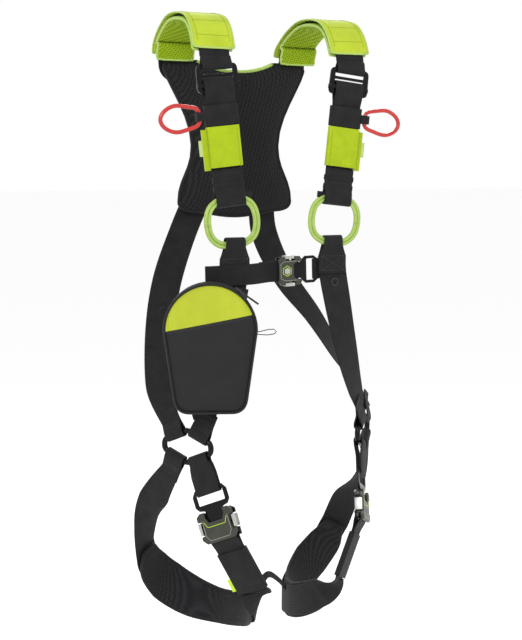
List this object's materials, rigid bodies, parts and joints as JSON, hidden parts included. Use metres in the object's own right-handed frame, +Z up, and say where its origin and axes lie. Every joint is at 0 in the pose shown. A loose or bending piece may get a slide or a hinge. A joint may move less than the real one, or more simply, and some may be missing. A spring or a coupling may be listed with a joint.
{
  "type": "tree climbing harness",
  "caption": "Full-body tree climbing harness: padded back and shoulders, webbing, two chest loops, dorsal ring, hip rings, quick-release leg loops and a zip pouch.",
  "frame": {"origin": "midway between the wearer's shoulders, level with the top of the shoulders", "axes": "+Z up, -Y the way the wearer faces, +X towards the wearer's left"},
  "size_m": [0.3942, 0.2828, 0.9376],
  "materials": {
    "black_webbing": "woven polyester webbing, matt black",
    "lime_padding": "padded textile with a bound edge, lime",
    "lime_elastic": "woven elastic, lime",
    "loop_textile": "woven tubular textile, pale lime",
    "red_cord": "cord in a smooth red plastic tube",
    "black_mesh": "spacer mesh over foam, charcoal",
    "black_metal": "black anodised aluminium alloy",
    "gunmetal": "dark grey anodised aluminium alloy",
    "silver_metal": "satin aluminium alloy",
    "spring_steel": "bare spring steel",
    "black_plastic": "moulded plastic, matt black",
    "pouch_fabric": "coated fabric, lime above and black below",
    "pouch_shell_fabric": "coated fabric with a stiff liner, black"
  },
  "bodies": {
    "harness": {"adjuster_frame_left": "black_metal", "adjuster_frame_right": "black_metal", "attachment_loop_left": "loop_textile", "attachment_loop_right": "loop_textile", "back_pad": "black_mesh", "buckle_sling_left": "black_webbing", "buckle_sling_right": "black_webbing", "chest_base": "black_metal", "chest_cover": "gunmetal", "chest_spring": "spring_steel", "chest_strap": "black_webbing", "chest_strap_end": "black_webbing", "chest_webbing_left": "black_webbing", "chest_webbing_right": "black_webbing", "dorsal_plate": "black_plastic", "front_strap_left": "black_webbing", "front_strap_right": "black_webbing", "hip_ring_left": "black_metal", "hip_ring_right": "black_metal", "keeper_left": "lime_elastic", "keeper_right": "lime_elastic", "leg_base_left": "black_metal", "leg_base_right": "black_metal", "leg_bridge": "black_webbing", "leg_cover_left": "gunmetal", "leg_cover_right": "gunmetal", "leg_pad_left": "black_mesh", "leg_pad_right": "black_mesh", "leg_sleeve_left": "black_webbing", "leg_sleeve_right": "black_webbing", "leg_spring_left": "spring_steel", "leg_spring_right": "spring_steel", "leg_strap_left": "black_webbing", "leg_strap_right": "black_webbing", "loop_sleeve_left": "black_webbing", "loop_sleeve_right": "black_webbing", "pouch_belt_loop": "black_webbing", "shoulder_cover_left": "lime_padding", "shoulder_cover_right": "lime_padding", "shoulder_pad_left": "lime_padding", "shoulder_pad_right": "lime_padding", "shoulder_webbing_left": "black_webbing", "shoulder_webbing_right": "black_webbing"},
    "dorsal_ring": {"dorsal_ring": "black_metal"},
    "adjuster_bar_left": {"adjuster_bar_left": "black_metal"},
    "gear_loop_left": {"gear_loop_left": "red_cord"},
    "leg_tongue_left": {"leg_tongue_left": "black_metal"},
    "leg_button_a_left": {"leg_button_a_left": "silver_metal"},
    "leg_button_b_left": {"leg_button_b_left": "silver_metal"},
    "adjuster_bar_right": {"adjuster_bar_right": "black_metal"},
    "gear_loop_right": {"gear_loop_right": "red_cord"},
    "leg_tongue_right": {"leg_tongue_right": "black_metal"},
    "leg_button_a_right": {"leg_button_a_right": "silver_metal"},
    "leg_button_b_right": {"leg_button_b_right": "silver_metal"},
    "chest_tongue": {"chest_tongue": "black_metal"},
    "chest_button_a": {"chest_button_a": "silver_metal"},
    "chest_button_b": {"chest_button_b": "silver_metal"},
    "pouch": {"pouch_shell": "pouch_shell_fabric"},
    "pouch_front": {"pouch_front": "pouch_fabric"},
    "zip_slider": {"zip_slider": "black_plastic"}
  },
  "joints": [
    {"name": "dorsal_ring_swing", "type": "hinge", "parent": "harness", "child": "dorsal_ring", "pos_m": [0, 0.1207, -0.136], "axis": [1, 0, 0], "range_deg": [0, 170]},
    {"name": "adjuster_slide_left", "type": "slide", "parent": "harness", "child": "adjuster_bar_left", "axis": [0.1093, 0, 0.994], "range_m": [0, 0.004]},
    {"name": "gear_loop_swing_left", "type": "hinge", "parent": "harness", "child": "gear_loop_left", "pos_m": [0.13009, -0.083, -0.12973], "axis": [0.1093, 0, 0.994], "range_deg": [-60, 60]},
    {"name": "leg_tongue_slide_left", "type": "slide", "parent": "harness", "child": "leg_tongue_left", "axis": [0.158, 0.3778, 0.9123], "range_m": [0, 0.011]},
    {"name": "leg_press_a_left", "type": "slide", "parent": "harness", "child": "leg_button_a_left", "axis": [-0.5908, -0.7041, 0.3939], "range_m": [0, 0.0025]},
    {"name": "leg_press_b_left", "type": "slide", "parent": "harness", "child": "leg_button_b_left", "axis": [0.5908, 0.7041, -0.3939], "range_m": [0, 0.0025]},
    {"name": "adjuster_slide_right", "type": "slide", "parent": "harness", "child": "adjuster_bar_right", "axis": [-0.1093, 0, 0.994], "range_m": [0, 0.004]},
    {"name": "gear_loop_swing_right", "type": "hinge", "parent": "harness", "child": "gear_loop_right", "pos_m": [-0.13009, -0.083, -0.12973], "axis": [-0.1093, 0, 0.994], "range_deg": [-60, 60]},
    {"name": "leg_tongue_slide_right", "type": "slide", "parent": "harness", "child": "leg_tongue_right", "axis": [-0.158, 0.3778, 0.9123], "range_m": [0, 0.011]},
    {"name": "leg_press_a_right", "type": "slide", "parent": "harness", "child": "leg_button_a_right", "axis": [0.5908, -0.7041, 0.3939], "range_m": [0, 0.0025]},
    {"name": "leg_press_b_right", "type": "slide", "parent": "harness", "child": "leg_button_b_right", "axis": [-0.5908, 0.7041, -0.3939], "range_m": [0, 0.0025]},
    {"name": "chest_tongue_slide", "type": "slide", "parent": "harness", "child": "chest_tongue", "axis": [0.9978, 0.0599, 0.0299], "range_m": [0, 0.009]},
    {"name": "chest_press_a", "type": "slide", "parent": "harness", "child": "chest_button_a", "axis": [-0.03, 0, 0.9995], "range_m": [0, 0.002]},
    {"name": "chest_press_b", "type": "slide", "parent": "harness", "child": "chest_button_b", "axis": [0.03, 0, -0.9995], "range_m": [0, 0.002]},
    {"name": "pouch_swing", "type": "hinge", "parent": "harness", "child": "pouch", "pos_m": [-0.08907, -0.1058, -0.3786], "axis": [-0.9272, 0.3746, 0], "range_deg": [0, 15]},
    {"name": "pouch_opening", "type": "hinge", "parent": "pouch", "child": "pouch_front", "pos_m": [-0.13171, -0.12325, -0.5406], "axis": [0.9272, -0.3746, 0], "range_deg": [0, 50]},
    {"name": "zip_travel", "type": "hinge", "parent": "pouch", "child": "zip_slider", "pos_m": [-0.12191, -0.099, -0.4226], "axis": [-0.3746, -0.9272, 0], "range_deg": [0, 115.1]}
  ],
  "couplings": [
    {"joint": "leg_press_a_left", "follows": "leg_tongue_slide_left", "ratio": 0.227},
    {"joint": "leg_press_b_left", "follows": "leg_tongue_slide_left", "ratio": 0.227},
    {"joint": "leg_press_a_right", "follows": "leg_tongue_slide_right", "ratio": 0.227},
    {"joint": "leg_press_b_right", "follows": "leg_tongue_slide_right", "ratio": 0.227},
    {"joint": "chest_press_a", "follows": "chest_tongue_slide", "ratio": 0.222},
    {"joint": "chest_press_b", "follows": "chest_tongue_slide", "ratio": 0.222},
    {"joint": "zip_travel", "follows": "pouch_opening", "ratio": 2.3}
  ]
}
